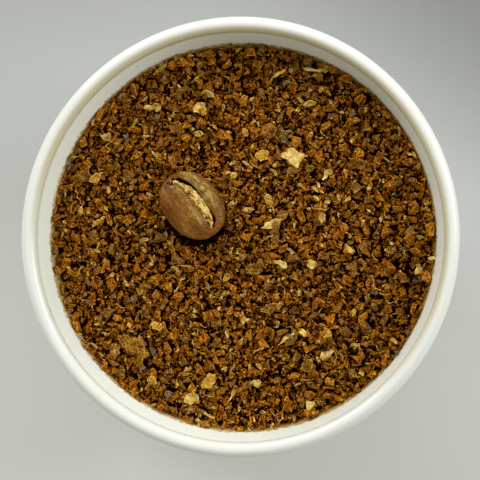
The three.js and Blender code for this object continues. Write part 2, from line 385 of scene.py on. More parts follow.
def cutProfile(x, y):
    # how far the face sinks: a furrow with steep walls between the lips, and lobes that roll into it
    b = beanShape
    left, right = readAlong(b["lips"], x)
    inside = (y - left) / np.maximum(right - left, 0.1)
    reach = smoothStep(0.2, 0.9, right - left)
    shallow = 1 - b["bridge"][2] * bell(x - b["bridge"][0], b["bridge"][1])
    furrow = b["cutDepth"] * shallow * reach
    furrow = furrow * smoothStep(-0.04, 0.26, inside) * smoothStep(1.03, 0.78, inside)
    ends = np.clip(1 - (np.abs(x) / 5.05) ** 4, 0, 1)
    leftRoll = b["leftRoll"][0] * bell(np.maximum(left - y, 0), b["leftRoll"][1])
    rightRoll = b["rightRoll"][0] * bell(np.maximum(y - right, 0), b["rightRoll"][1])
    roll = ends * (leftRoll + (rightRoll - leftRoll) * np.clip(inside, 0, 1))
    away = np.hypot(x - b["knob"][0], y - b["knob"][1])
    fold = 0.5 * bell(away - b["knobRadius"], 0.14) * smoothStep(-5.1, -4.8, x)
    return furrow + roll + fold - 0.16 * bell(away, 0.34)


def wrinkles(x, y, z):
    # shrunken skin: shallow dents, pleats along the bean, and fine creases between them
    dents = 0.05 * noise.noise(Vector((x * 0.55, y * 1.1, z * 1.1)))
    pleats = 0.09 * (0.2 - abs(noise.noise(Vector((x * 0.95 + 9, y * 1.8, z * 1.8)))))
    creases = 0.045 * noise.noise(Vector((x * 2.1, y * 3.4, z * 3.4 + 4)))
    return dents + pleats + creases + 0.014 * noise.noise(Vector((x * 4.5, y * 7, z * 7 + 2)))


def beanMesh():
    b = beanShape
    turn = np.linspace(0, 2 * math.pi, b["around"], endpoint=False)
    c, s = np.cos(turn), np.sin(turn)
    square = (np.abs(c) ** b["roundness"] + np.abs(s) ** b["roundness"]) ** (-1 / b["roundness"])
    rows = []
    for level in np.linspace(0, math.pi, b["rings"] + 2)[1:-1]:
        share = math.sin(level)
        x = b["length"] / 2 * share * square * c
        y = b["width"] / 2 * share * square * s
        if level < math.pi / 2:
            z = faceHeight(x, y) - cutProfile(x, y) * smoothStep(1.0, 0.93, share)
        else:
            z = np.full_like(x, -b["back"] * math.sqrt(max(0, 1 - share ** 2)))
        rows.append(np.column_stack([x, y, z]))
    crown = [0, 0, b["face"] - float(cutProfile(np.array([0.0]), np.array([0.0]))[0])]
    points = np.vstack(rows + [[crown], [[0, 0, -b["back"]]]])
    relief = np.array([wrinkles(*p) for p in points])
    outward = points / np.array([b["length"] / 2, b["width"] / 2, b["back"]]) ** 2
    outward /= np.linalg.norm(outward, axis=1)[:, None] + 1e-9
    points = points + outward * (relief[:, None] - 0.03)
    faces = [f[::-1] for f in shellFaces(b["rings"], b["around"])]
    mesh = meshFrom("bean_body", fromBean(points), faces)
    # masks that the skin's finish reads: the cut's depth, which it paints as shade, the painted sheen patches
    # and the dark specks
    x, y, z = points.T
    bloom = sum(strength * bell(x - px, along) * bell(y - py, across)
                for px, py, along, across, strength in b["bloom"])
    specks = sum(bell(np.hypot(x - px, y - py), b["speckRadius"]) for px, py in b["specks"])
    # the cut's depth, from which the finish paints shade into the cut
    sunk = np.clip(cutProfile(x, y) / 1.2, 0, 1)
    for name, values in (("sunk", sunk), ("bloom", bloom), ("speck", specks)):
        addMask(mesh, name, values * (z > -1))
    return mesh


def beanFinish():
    # skin of a medium roast: dry brown parchment over the seed, with painted sheen in pale satin patches
    # where it has puckered, and painted shade where it sinks into the cut
    material, tree, place = newMaterial("Roasted bean skin")
    # the grain of the skin runs along the bean
    along = addNode(tree, "ShaderNodeMapping", {
        "vector_type": "TEXTURE", "Vector": place, "Scale": (2, 1, 1),
        "Rotation": (0, 0, math.radians(beanShape["turn"]))})
    broad, fine = (addNode(tree, "ShaderNodeTexNoise",
                           {"Vector": along, "Scale": scale, "Detail": detail, "Roughness": 0.6})
                   for scale, detail in ((0.5, 3.0), (2.4, 2.5)))
    pores = addNode(tree, "ShaderNodeTexNoise", {"Vector": place, "Scale": 5.5, "Detail": 1.0})
    bloom, sunk, speck = (addNode(tree, "ShaderNodeAttribute", {"attribute_name": mask}, "Fac")
                          for mask in ("bloom", "sunk", "speck"))
    streaks, finer, coarser, hollow, dark = (
        addNode(tree, "ShaderNodeMapRange", {0: source, 1: low, 2: high, 3: least, 4: most})
        for source, low, high, least, most in ((fine, 0.36, 0.62, 0.1, 1.0), (fine, 0.34, 0.66, 0.7, 1.28),
                                               (pores, 0.34, 0.66, 0.75, 1.25), (sunk, 0.16, 0.9, 0.0, 0.95),
                                               (speck, 0.2, 0.8, 0.0, 0.8)))
    # painted sheen: pale satin streaks laid over the patches
    painted_sheen = addNode(tree, "ShaderNodeMath", {"operation": "MULTIPLY", 0: bloom, 1: streaks})
    browns = [(0.34, "#5F3508"), (0.5, "#744710"), (0.66, "#875C1F")]
    colour = addNode(tree, "ShaderNodeValToRGB", {"Fac": broad, "stops": browns})
    # painted shade: dark brown deep in the cut, on the lobes' rolled edges and round the knob
    coats = [("MIX", painted_sheen, "#AE9654"), ("MULTIPLY", 1.0, finer), ("MULTIPLY", 1.0, coarser),
             ("MIX", hollow, "#251203"), ("MIX", dark, "#2E1A08")]
    finishMaterial(tree, colour, coats, 0.5, shine=0.15, bump=(fine, 0.7, 0.05))
    return material


skinShape = {
    # where along the bean, and the torn left and right edges there
    "edges": [(-4.55, -0.1, 0.15), (-4.2, -0.36, 0.44), (-3.8, -0.02, 0.46), (-3.3, 0.14, 0.78),
              (-2.8, 0.3, 1.05), (-2.4, 0.36, 1.35), (-2, 0.14, 1.5), (-1.65, 0.5, 1.5), (-0.9, 0.28, 1.65),
              (-0.4, 0.1, 1.7), (0.6, 0.15, 1.62), (1.6, 0.1, 1.5), (2.4, -0.02, 1.42), (3, -0.06, 1.28),
              (3.5, -0.05, 0.95), (3.95, 0.03, 0.75), (4.3, -0.12, 0.35), (4.62, -0.25, -0.12)],
    # a paler lump near the upper end: place along the bean, half length, height
    "ball": (-4.15, 0.32, 0.26),
    "hole": (2.97, 0.28, 0.24),
    "thickness": 0.07,
    "torn": 0.09,
    "arch": 0.2,           # how high the ribbon arches over the cut
    "tuck": 0.16,          # how far its left edge dips
    "sink": 0.5,           # how far its right edge dips
    "folds": 0.3,
    "along": 280,
    "across": 30,
}


def threads(x, y, coarse, fine):
    # meandering ridges, 1 on a thread and 0 between them
    thread = 1 - 2.4 * abs(noise.noise(Vector((x * coarse + 0.8 * y, y * 2.4 * coarse, 2))))
    strand = 1 - 2.2 * abs(noise.noise(Vector((x * fine - y, y * 2.2 * fine, 8))))
    return 0.65 * max(thread, 0) ** 1.5 + 0.35 * max(strand, 0)


def skinMesh():
    # a crumpled ribbon with torn edges: it crests by the left lip, and its right side sinks into the cut
    s = skinShape
    along, across = s["along"], s["across"]
    above, below, pale = [], [], []
    for x, left, right in catmullRom(s["edges"], np.linspace(0, 1, along)):
        lip = float(faceHeight(np.array([x]), np.array([left]))[0]) - beanShape["leftRoll"][0]
        wide = smoothStep(0.5, 1.2, right - left)
        ball = bell(x - s["ball"][0], s["ball"][1])
        for j in range(across):
            v = j / (across - 1)
            tear = s["torn"] * noise.noise(Vector((x * 3.2, 5 * (v > 0.5), 7)))
            y = left + (right - left) * v + tear * (2 * abs(v - 0.5)) ** 2
            ridge = threads(x, y, 0.9, 2.1)
            hole = bell(math.hypot(x - s["hole"][0], y - s["hole"][1]), s["hole"][2])
            height = lip + s["arch"] * math.sin(math.pi * min(v / 0.7, 1)) - s["tuck"] * smoothStep(0.2, 0, v)
            height += s["folds"] * (ridge - 0.4) - wide * s["sink"] * smoothStep(0.55, 1, v)
            height += 0.06 * math.sin(1.9 * x) + s["ball"][2] * ball * math.sin(math.pi * v) - 0.3 * hole
            above.append((x, y, height))
            below.append((x, y, height - s["thickness"]))
            # painted light and shade: paler on thread ridges, darker between them, on the side that sinks
            # into the cut and in the hole; the lump is paler
            pale.append(ridge * (1 - 0.4 * wide * smoothStep(0.7, 1, v)) + 0.4 * ball - hole)
    count = len(pale)
    top = gridFaces(along, across, closed=False)
    faces = [f[::-1] for f in top] + [tuple(k + count for k in f) for f in top]
    rim = [i * across for i in range(along)] + [(along - 1) * across + j for j in range(1, across)]
    rim += [(i + 1) * across - 1 for i in range(along - 2, -1, -1)] + list(range(across - 2, 0, -1))
    for a, b in zip(rim, rim[1:] + rim[:1]):
        faces.append((a, b, b + count, a + count))
    mesh = meshFrom("bean_skin_strip", fromBean(np.array(above + below)), faces)
    pointOutward(mesh)
    addMask(mesh, "pale", pale + pale)
    return mesh


def skinFinish():
    # silverskin: the seed's inner hull, dried to gold paper; its thread ridges get a painted highlight and
    # the folds between them painted shade
    material, tree, place = newMaterial("Silverskin")
    fibres = addNode(tree, "ShaderNodeTexNoise",
                     {"Vector": place, "Scale": 4.0, "Detail": 2.0, "Distortion": 0.4})
    pale = addNode(tree, "ShaderNodeAttribute", {"attribute_name": "pale"}, "Fac")
    uneven = addNode(tree, "ShaderNodeMath", {"operation": "MULTIPLY_ADD", 0: fibres, 1: 0.8, 2: -0.4})
    share = addNode(tree, "ShaderNodeMath", {"operation": "ADD", 0: pale, 1: uneven})
    golds = [(0.0, "#4A2C08"), (0.16, "#9A6C24"), (0.4, "#C9A04A"), (0.72, "#E4C97F")]
    colour = addNode(tree, "ShaderNodeValToRGB", {"Fac": share, "stops": golds})
    finishMaterial(tree, colour, [], 0.6, shine=0.2, bump=(fibres, 0.7, 0.05))
    return material


def makeBean():
    body = beanMesh()
    body.materials.append(beanFinish())
    piece = addObject("bean_body", body)
    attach(piece, "root")
    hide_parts("coffee_bean")
    strip = skinMesh()
    strip.materials.append(skinFinish())
    piece = addObject("bean_skin_strip", strip)
    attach(piece, "root")
    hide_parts("bean_silverskin")
    print("bean", len(body.polygons), "faces")


# Ground coffee

heap = {
    "level": 28.0,
    "swell": 0.3,          # how far the top rises and falls
    "coreDepth": 1.5,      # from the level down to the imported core
    "edge": 29.5,          # half the side of the height map
    "cell": 0.12,          # of the height map
    "sunkIn": 0.78,        # a grain rests on the highest share of the bumps under it past this one
    "lastSunkIn": 0.8,     # the same for what lies among the grains
    "lastLayer": 0.25,     # left for what lies among the grains
    "seed": 41,
    "beanGap": 0.06,       # between the bean's back and the grains
    "crowd": 1.05,         # past 1, the share of the grains that slide up to the wall
    "climb": 0.35,         # how far out past the level's edge a few of them lie, on the wall's slope
    "buried": 0.3,         # grains deeper than this are left out
    "smallness": 1.6,      # past 1, more of each kind are small
    "fromWall": 0.32,      # share of its length that a grain keeps from the wall
    "meanWithin": 27,      # radius over which the heap's mean height is taken
    # the hollow along the bean's lower left: width, where round the bean, spread in radians, depth
    "trench": 1.5,
    "trenchTurn": -105,
    "trenchSpread": 0.85,
    "trenchDepth": 1.6,
    "evenReach": 0.4,      # how far each way the top is averaged, for the shade in the gaps
    "hollowFrom": 0.35,    # how far below the level that average may sink
    # heights against that average: the darkest gaps, and where their shade ends
    "gaps": (-0.49, -0.01),
}


def swell(x, y):
    return heap["swell"] * (np.sin(x / 7 + 0.6) * np.cos(y / 8 - 0.4) + 0.4 * np.sin((x + y) / 4.3))


def beanUnderside(x, y):
    # height of the bean's back over the points, and far up beside it
    low = np.full(x.shape, 99.0)
    for _ in range(2):
        start = np.where(low > 90, beanShape["at"][2], low)
        local = toBean(np.column_stack([x.ravel(), y.ravel(), start.ravel()]))
        share = outlineShare(local[:, 0], local[:, 1])
        depth = -beanShape["back"] * np.sqrt(np.clip(1 - share ** 2, 0, None))
        world = fromBean(np.column_stack([local[:, 0], local[:, 1], depth]))[:, 2]
        low = np.where(share < 1, world, 99.0).reshape(x.shape)
    return low


def beanTrench(x, y):
    # how deep the grains leave a hollow along the bean's lower left
    local = toBean(np.column_stack([x.ravel(), y.ravel(), np.full(x.size, beanShape["at"][2])]))
    share = outlineShare(local[:, 0], local[:, 1])
    outside = ((share - 1) / share * np.hypot(local[:, 0], local[:, 1])).reshape(x.shape)
    turn = np.arctan2(y - beanShape["at"][1], x - beanShape["at"][0]) - math.radians(heap["trenchTurn"])
    turn = (turn + math.pi) % (2 * math.pi) - math.pi
    width = heap["trench"] * bell(turn, heap["trenchSpread"])
    ring = smoothStep(-1.8, -0.9, outside) * (1 - smoothStep(0.5 * width, width + 0.01, outside))
    return heap["trenchDepth"] * ring * smoothStep(0.1, 0.3, width)


class Ground:
    # the heap's top as a height map; each thing that lands raises it
    def __init__(self):
        self.edge = heap["edge"]
        self.axis = np.arange(-self.edge, self.edge, heap["cell"])
        x, y = np.meshgrid(self.axis, self.axis, indexing="ij")
        under = beanUnderside(x, y) - heap["beanGap"]
        hollow = beanTrench(x, y)
        self.ceiling = np.where(hollow > 0.01, np.minimum(under, heap["level"] + 0.5 - hollow), under)
        self.height = np.minimum(heap["level"] + swell(x, y) - heap["coreDepth"], self.ceiling)
        wall = innerWall(60)[::-1]
        self.height = np.maximum(self.height, np.interp(np.hypot(x, y), wall[:, 0], wall[:, 1]))
        self.rng = np.random.default_rng(heap["seed"])

    def window(self, x, y, reach):
        low = [int((p + self.edge - reach) / heap["cell"]) for p in (x, y)]
        high = [int((p + self.edge + reach) / heap["cell"]) + 2 for p in (x, y)]
        return slice(max(low[0], 0), high[0]), slice(max(low[1], 0), high[1])

    def drop(self, x, y, half, turn, sunkIn, covers=True):
        # half holds the semi-axes. Returns the height of the centre, or None where the bean is in the way
        window = self.window(x, y, max(half[:2]))
        here = self.height[window]
        dx = (self.axis[window[0]] - x)[:, None]
        dy = (self.axis[window[1]] - y)[None, :]
        u = (dx * math.cos(turn) + dy * math.sin(turn)) / half[0]
        v = (dy * math.cos(turn) - dx * math.sin(turn)) / half[1]
        away = u * u + v * v
        inside = away < 1
        dome = half[2] * np.sqrt(np.clip(1 - away, 0, None))
        lifted = (here + dome)[inside]
        if not len(lifted):
            return None
        rank = int(sunkIn * (len(lifted) - 1))
        rest = float(np.partition(lifted, rank)[rank])
        if np.any((rest + 0.8 * dome > self.ceiling[window])[inside]):
            return None
        if covers:
            here[inside] = np.maximum(here, rest + 0.9 * dome)[inside]
        return rest

    def cellAt(self, x, y):
        last = len(self.axis) - 1
        return tuple(np.clip(((p + self.edge) / heap["cell"]).astype(int), 0, last) for p in (x, y))

    def heightAt(self, x, y):
        return self.height[self.cellAt(x, y)]

    def slope(self, x, y, reach):
        at = self.heightAt(x + reach * np.array([1, -1, 0, 0]), y + reach * np.array([0, 0, 1, -1]))
        return np.clip(np.array([at[0] - at[1], at[2] - at[3]]) / (2 * reach), -0.5, 0.5)

    def evenOut(self):
        # the top as the eye evens it out: each place's mean over a few grains
        reach = round(heap["evenReach"] / heap["cell"])
        x, y = self.axis[:, None], self.axis[None, :]
        level = heap["level"] + swell(x, y)
        mean = np.where(np.hypot(x, y) < wallRadius(heap["level"]) - 0.1, self.height, level)
        for axis in (0, 1):
            mean = sum(np.roll(mean, k, axis) for k in range(-reach, reach + 1)) / (2 * reach + 1)
        # the hollow round the bean stays lower than this, so its grains get the painted shade of the gaps
        self.even = np.maximum(mean, level - heap["hollowFrom"])

    def evenAt(self, points):
        return self.even[self.cellAt(points[:, 0], points[:, 1])]

    def inSight(self, rows):
        # leaves out what later grains have buried
        reach = 0.35 * rows[:, 3]
        around = ((0, 0), (1, 0), (-1, 0), (0, 1), (0, -1))
        cover = [self.heightAt(rows[:, 0] + reach * dx, rows[:, 1] + reach * dy) for dx, dy in around]
        return rows[rows[:, 2] + rows[:, 5] / 2 > np.min(cover, axis=0) - heap["buried"]]

    def meanHeight(self):
        middle = np.hypot(self.axis[:, None], self.axis[None, :]) < heap["meanWithin"]
        return float(self.height[middle].mean())

    def spot(self, room, tries):
        # the lowest of a few random places, so that hollows fill first
        radius = room * np.sqrt(np.minimum(heap["crowd"] * self.rng.random(tries), 1))
        angle = 2 * math.pi * self.rng.random(tries)
        x, y = radius * np.cos(angle), radius * np.sin(angle)
        best = int(np.argmin(self.heightAt(x, y) - swell(x, y)))
        return x[best], y[best]


def lying(slope, turn):
    # turns that lay a piece on a slope after it is spun about its own normal
    normal = Vector((-slope[0], -slope[1], 1))
    lean = normal.to_track_quat("Z", "X").to_matrix()
    flat = Vector((1, 0, 0)) @ lean
    spin = turn + math.atan2(flat.y, flat.x)
    return (lean @ Matrix.Rotation(spin, 3, "Z")).to_euler()


# each kind: length in mm, width and thickness against it, how far it leans, how many it drops of each round
grainKinds = {
    "coarse": {"length": (1.1, 2.3), "width": (0.45, 0.8), "thick": (0.35, 0.6), "lean": 0.6, "round": 24},
    "medium": {"length": (0.55, 1.1), "width": (0.5, 0.85), "thick": (0.45, 0.8), "lean": 0.8, "round": 120},
    "fine": {"length": (0.28, 0.55), "width": (0.5, 0.95), "thick": (0.5, 0.9), "lean": 1, "round": 260},
}
# what lies among the grains: the same, with how many in all. Some try more places for a lower one (tries),
# are solid for a part of their height (rise), or let others fall through them (covers)
sparseKinds = {
    "shell": {"length": (0.9, 2.2), "width": (0.5, 0.9), "thick": (0.2, 0.35), "lean": 0.6, "count": 320},
    "crumb": {"length": (0.18, 0.36), "width": (0.5, 1), "thick": (0.5, 1), "lean": 1, "count": 15000,
              "tries": 4},
    "scorched": {"length": (0.7, 1.6), "width": (0.6, 0.9), "thick": (0.3, 0.5), "lean": 0.4, "count": 40},
    "golden": {"length": (0.35, 1.2), "width": (0.45, 0.85), "thick": (0.2, 0.4), "lean": 0.6, "count": 290},
    "chaff": {"length": (0.4, 1.5), "width": (0.15, 0.5), "thick": (0.25, 0.6), "lean": 0.6, "count": 330,
              "rise": 0.6},
    "shred": {"length": (0.9, 2.4), "width": (0.8, 1.1), "thick": (0.8, 1.2), "lean": 0.35, "count": 130,
              "rise": 0.15, "covers": False},
}


def dropOne(ground, k, tries, sunkIn):
    rng = ground.rng
    length = k["length"][0] + (k["length"][1] - k["length"][0]) * rng.random() ** heap["smallness"]
    size = length * np.array([1, rng.uniform(*k["width"]), rng.uniform(*k["thick"])])
    room = wallRadius(heap["level"]) - heap["fromWall"] * length + heap["climb"] * rng.random() ** 3
    x, y = ground.spot(room, tries)
    turn = rng.uniform(0, 2 * math.pi)
    slope = ground.slope(x, y, length / 2) + k["lean"] * rng.uniform(-1, 1, 2)
    rest = ground.drop(x, y, size / 2 * [1, 1, k.get("rise", 1)], turn, sunkIn, k.get("covers", True))
    if rest is None:
        return None
    return (x, y, rest, *size, *lying(slope, turn))


def pourGrains(ground):
    poured = {kind: [] for kind in grainKinds}
    while ground.meanHeight() < heap["level"] - heap["lastLayer"]:
        for kind, k in sorted(grainKinds.items(), key=lambda item: -item[1]["round"]):
            for _ in range(k["round"]):
                row = dropOne(ground, k, 3, heap["sunkIn"])
                if row:
                    poured[kind].append(row)
    for kind, k in sparseKinds.items():
        rows = [dropOne(ground, k, k.get("tries", 2), heap["lastSunkIn"]) for _ in range(k["count"])]
        poured[kind] = [row for row in rows if row]
    return {kind: np.array(rows) for kind, rows in poured.items()}


goldenAngle = 2.39996


def chipShape(rng, corners, crags, square=0.45):
    # one broken grain of unit size: the hull of uneven corners, each of its faces dished or raised by crags;
    # square says how far it fills out a box
    made = bmesh.new()
    edge = made.verts.layers.float.new("edge")
    for i in range(corners):
        height = 1 - 2 * (i + 0.5) / corners
        turn = i * goldenAngle + rng.uniform(-0.7, 0.7)
        reach = math.sqrt(1 - height ** 2)
        p = np.array([reach * math.cos(turn), reach * math.sin(turn), height])
        made.verts.new(p / np.max(np.abs(p)) ** square * rng.uniform(0.5, 1.15))
    bmesh.ops.convex_hull(made, input=made.verts)
    bmesh.ops.delete(made, geom=[v for v in made.verts if not v.link_faces], context="VERTS")
    bmesh.ops.recalc_face_normals(made, faces=made.faces)
    for v in made.verts:
        v[edge] = rng.uniform(0.5, 1)
    for face in list(made.faces) if crags else []:
        middle = bmesh.ops.poke(made, faces=[face], offset=rng.uniform(-1.5, 0.7) * crags)["verts"][0]
        middle[edge] = 0
    tone = made.faces.layers.float.new("tone")
    for face in made.faces:
        face[tone] = rng.random()
    points = np.array([v.co for v in made.verts])
    points = (points - (points.max(0) + points.min(0)) / 2) / (points.max(0) - points.min(0)) * mm
    for v, p in zip(made.verts, points):
        v.co = p
    mesh = bpy.data.meshes.new("chip")
    made.to_mesh(mesh)
    made.free()
    return mesh


def twoFaced(name, flat, lift, thickness, cap, rim, edge, smooth=False):
    # a thin closed plate: flat points, their lift, the triangles of one face, and the rim's points in order
    count = len(flat)
    points = np.column_stack([flat, lift + thickness / 2])
    under = np.column_stack([flat, lift - thickness / 2])
    faces = list(cap) + [tuple(k + count for k in f[::-1]) for f in cap]
    for a, b in zip(rim, rim[1:] + rim[:1]):
        faces.append((a + count, b + count, b, a))
    mesh = meshFrom(name, np.vstack([points, under]), faces, smooth)
    addMask(mesh, "edge", np.tile(edge, 2))
    addMask(mesh, "tone", 0.5)
    return mesh


def plateShape(rng, curl, crumple, thickness):
    # a torn plate of unit length: a middle point, an inner ring and an uneven rim, curled one way
    inner, outer = 6, 12
    flat = [(0, 0)]
    for count, reach in ((inner, 0.26), (outer, 0.52)):
        for k in range(count):
            turn = 2 * math.pi * (k + rng.uniform(-0.3, 0.3)) / count
            r = reach * rng.uniform(0.62, 1)
            flat.append((r * math.cos(turn), r * math.sin(turn)))
    flat = np.array(flat)
    flat /= np.ptp(flat, axis=0)
    axis = rng.uniform(0, math.pi)
    along = flat @ [math.cos(axis), math.sin(axis)]
    lift = curl * rng.uniform(0.3, 1) * (4 * along ** 2 - 0.5) + rng.uniform(-crumple, crumple, len(flat))
    cap = []
    for k in range(inner):
        a, b = 1 + k, 1 + (k + 1) % inner
        r = [1 + inner + (2 * k + s) % outer for s in range(3)]
        cap += [(0, a, b), (a, r[0], r[1]), (a, r[1], b), (b, r[1], r[2])]
    edge = np.repeat([0, 0.15, 1], [1, inner, outer])
    return twoFaced("plate", flat, lift, thickness, cap, list(range(1 + inner, 1 + inner + outer)), edge)


def shredShape(rng):
    # a torn sliver of unit length, bent two ways, four-sided and tapered to both ends
    steps = 8
    bend, lift = rng.uniform(-0.3, 0.3), rng.uniform(0, 0.12)
    wave, twist = rng.uniform(-0.09, 0.09), rng.uniform(0, 6.3)
    rings = []
    for i in range(steps + 1):
        s = i / steps
        x = s - 0.5
        y = bend * (1 - 4 * x * x) + wave * math.sin(9 * s + twist)
        z = lift * (1 - 4 * x * x) + 0.04 * math.sin(7 * s + 2 * twist)
        half = 0.05 * (0.3 + math.sin(math.pi * s) * rng.uniform(0.6, 1.2))
        for k in range(4):
            turn = math.pi / 2 * k + twist + 1.4 * s
            rings.append((x, y + half * math.cos(turn), z + 0.55 * half * math.sin(turn)))
    faces = [f[::-1] for f in gridFaces(steps + 1, 4)]
    last = steps * 4
    faces += [(0, 1, 2, 3), (last + 3, last + 2, last + 1, last)]
    mesh = meshFrom("shred", rings, faces, False)
    addMask(mesh, "edge", rng.uniform(0, 1, len(rings)))
    addMask(mesh, "tone", 0.5)
    return mesh


# torn outlines, one unit long and wide
outlines = {
    "wedge": [(-0.5, 0.2), (-0.12, 0.44), (0.06, 0.5), (0.5, 0.2), (0.43, -0.14), (0.22, -0.5), (0.0, -0.32),
              (-0.25, -0.04)],
    "leaf": [(-0.5, -0.12), (-0.2, 0.34), (0.22, 0.5), (0.5, 0.2), (0.28, -0.36), (-0.14, -0.5)],
    "strip": [(-0.5, -0.5), (-0.2, -0.1), (0.12, 0.12), (0.5, 0.5), (0.34, 0.02), (0.06, -0.24),
              (-0.2, -0.44)],
    "plate": [(-0.5, 0.1), (-0.28, 0.5), (0.28, 0.42), (0.5, 0.0), (0.24, -0.5), (-0.36, -0.4)],
    "hook": [(-0.5, 0.46), (-0.32, 0.5), (-0.06, 0.36), (0.16, 0.38), (0.36, 0.22), (0.5, -0.04),
             (0.5, -0.32), (0.42, -0.5), (0.12, -0.46), (0.14, -0.24), (0.0, -0.1), (-0.14, -0.1),
             (-0.34, 0.08), (-0.48, 0.24)],
}
# what catches the eye: outline, place, length and width in mm, turn in degrees
showPieces = {
    "chaff": [
        ("wedge", 7.4, 11.8, 3.8, 3.1, 0), ("plate", -6.3, 19.3, 2.0, 1.8, 50),
        ("leaf", 4.5, 1.9, 3.4, 1.4, 15), ("strip", 5.5, 24.6, 3.0, 1.5, 10),
        ("plate", -7.5, -24.0, 2.3, 1.7, 30), ("leaf", 12.4, -17.4, 2.4, 1.5, 15),
        ("hook", 5.5, -3.9, 2.4, 1.5, 5), ("hook", -13.5, 19.4, 2.6, 1.5, 20),
        ("strip", -1.7, -23.4, 2.8, 1.3, 40), ("strip", 6.8, -14.8, 3.4, 1.4, 20),
        ("plate", -5.1, 21.5, 2.0, 1.1, -35), ("wedge", 1.9, -21.8, 1.8, 1.2, 10),
        ("plate", 10.5, -4.0, 1.5, 1.3, -20), ("leaf", 11.9, 2.9, 1.7, 1.1, 75),
        ("strip", 3.9, 0.0, 2.2, 1.1, 5), ("strip", -5.1, -26.4, 2.4, 1.0, -50),
        ("leaf", 26.2, -4.8, 1.6, 1.1, 55), ("hook", 12.7, 9.2, 2.0, 1.2, 75),
        ("wedge", 10.1, -25.0, 2.0, 1.5, 95), ("plate", -20.5, 15.2, 1.6, 1.3, 0),
        ("leaf", 1.0, 4.1, 1.9, 0.8, -5), ("plate", 9.1, -14.2, 1.5, 1.1, -30),
        ("leaf", 16.0, -1.8, 1.6, 0.8, -60), ("plate", -1.2, 9.2, 1.2, 1.1, 0),
        ("strip", 10.7, 25.0, 3.2, 1.3, -25), ("plate", -18.9, -17.0, 0.9, 0.8, 10),
        ("strip", 23.3, 15.3, 2.4, 0.9, 70),
    ],
    "golden": [
        ("leaf", -4.9, -21.4, 3.1, 1.8, 36), ("plate", -13.5, -21.3, 1.6, 1.5, 20),
        ("leaf", -22.3, 8.9, 2.0, 1.4, 20), ("leaf", 4.0, 5.5, 2.3, 1.2, 95),
        ("plate", -12.7, -13.3, 1.8, 1.2, -10), ("strip", -21.7, 2.6, 2.0, 1.2, 5),
        ("leaf", -6.6, 15.6, 1.8, 1.0, -20), ("wedge", 12.6, -14.1, 1.7, 1.4, -50),
        ("leaf", -2.5, -6.0, 1.6, 0.9, 50), ("leaf", 0.5, 15.6, 1.5, 0.9, -80),
        ("strip", 2.6, -16.6, 1.9, 0.9, 5), ("leaf", 10.1, 19.9, 2.0, 0.9, 0),
        ("leaf", -24.4, 4.0, 1.5, 0.8, 70), ("strip", -12.2, 25.4, 3.0, 1.2, 20),
        ("plate", 3.1, 12.2, 2.1, 1.7, 30),
    ],
    "plate": [
        ("plate", 4.1, 15.8, 2.5, 2.1, -35), ("plate", -9.8, 16.5, 2.2, 2.0, 20),
        ("leaf", 1.7, -4.7, 2.8, 1.7, -25), ("leaf", 4.5, -10.5, 3.5, 1.5, 8),
        ("plate", -24.0, 9.2, 2.9, 1.7, 5), ("hook", -16.6, -16.8, 4.0, 4.8, 0),
        ("plate", -19.2, -17.0, 1.8, 2.3, -20), ("leaf", 9.9, -19.0, 2.2, 1.7, 20),
        ("leaf", 17.2, 11.1, 2.6, 1.6, -40),
    ],
}


def tornPlate(outline, length, width, thickness, curl, crumple, seed):
    # cut to an outline, its edge torn finer, then crumpled, curled and given two faces
    corners = [Vector((x * length, y * width)) for x, y in outline]
    step = 0.2
    edge = []
    for a, b in zip(corners, corners[1:] + corners[:1]):
        across = Vector((a.y - b.y, b.x - a.x)).normalized()
        count = max(2, round((b - a).length / step))
        for k in range(count):
            p = a.lerp(b, k / count)
            torn = 0.32 * noise.noise(Vector((p.x * 1.2, p.y * 1.2, seed)))
            torn += 0.08 * noise.noise(Vector((p.x * 3.5, p.y * 3.5, seed)))
            edge.append(p + across * torn * min(1, width / 1.6))
    rim = len(edge)
    for i, x in enumerate(np.arange(-length / 2, length / 2, step)):
        edge += [Vector((x, y + (i % 2) * step / 2)) for y in np.arange(-width / 2, width / 2, step)]
    points, _, cap, _, _, _ = geometry.delaunay_2d_cdt(edge, [], [list(range(rim))], 1, 1e-5)
    used = sorted({k for f in cap for k in f})
    place = {k: i for i, k in enumerate(used)}
    flat = np.array([points[k] for k in used])
    lift = curl * (4 * (flat[:, 0] / length) ** 2 - 0.4) + 0.5 * curl * flat[:, 1] / width
    lift += [crumple * noise.noise(Vector((x * 1.1, y * 1.1, seed + 4)))
             + 0.1 * noise.noise(Vector((x * 4, y * 4, seed))) for x, y in flat]
    ring = [place[k] for k in range(rim) if k in place]
    inward = np.min(np.linalg.norm(flat[:, None] - flat[ring][None], axis=2), axis=1)
    cap = [tuple(place[k] for k in f) for f in cap]
    return twoFaced("torn plate", flat, lift, thickness, cap, ring, np.exp(-inward / 0.12), True)


# thickness, how far the ends curl, and how crumpled, in mm
showForms = {"plate": (0.34, 0.35, 0.8), "golden": (0.26, 0.3, 0.34), "chaff": (0.08, 0.55, 0.34)}


